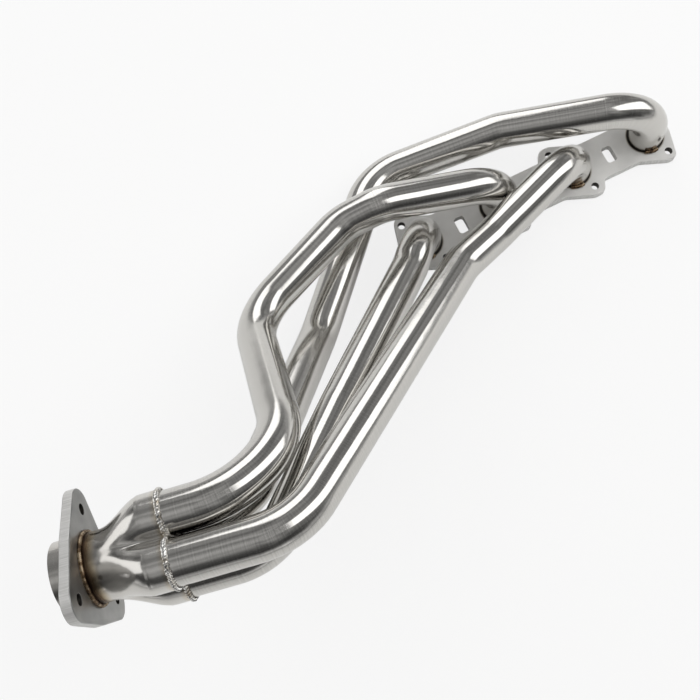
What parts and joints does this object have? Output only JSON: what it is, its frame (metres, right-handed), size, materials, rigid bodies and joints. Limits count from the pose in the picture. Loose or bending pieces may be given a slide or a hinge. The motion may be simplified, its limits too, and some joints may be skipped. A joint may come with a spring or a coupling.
{
  "type": "exhaust manifold",
  "caption": "Long tubular exhaust manifold: a flat ported head flange, bent primary tubes that sweep into a four-lobed collector, and a bolted outlet flange with a short stub.",
  "frame": {"origin": "centre of the head flange's mating face, midway between the two middle ports on the port line", "axes": "+X along the port row away from the outlet, +Y up the face, +Z out of the plate's tube side; the mating face looks along -Z"},
  "size_m": [0.8014, 0.3998, 0.3192],
  "materials": {
    "polished_stainless": "mirror polished",
    "satin_stainless_plate": "satin, machined",
    "weld_bead": "rippled weld bead",
    "heat_tinted_weld": "rippled weld bead with straw to brown heat tint"
  },
  "bodies": {
    "root": {"head_flange": "satin_stainless_plate", "primary_tube_1": "polished_stainless", "primary_tube_2": "polished_stainless", "primary_tube_3": "polished_stainless", "primary_tube_4": "polished_stainless", "port_weld_1": "weld_bead", "port_weld_2": "weld_bead", "port_weld_3": "weld_bead", "port_weld_4": "weld_bead", "tack_weld_1": "heat_tinted_weld", "tack_weld_2": "heat_tinted_weld", "tack_weld_3": "heat_tinted_weld", "tack_weld_4": "heat_tinted_weld", "collector_body": "polished_stainless", "center_plug": "satin_stainless_plate", "inlet_weld_1": "weld_bead", "inlet_weld_2": "weld_bead", "inlet_weld_3": "weld_bead", "inlet_weld_4": "weld_bead", "outlet_flange": "satin_stainless_plate", "flange_weld": "heat_tinted_weld"}
  },
  "joints": []
}
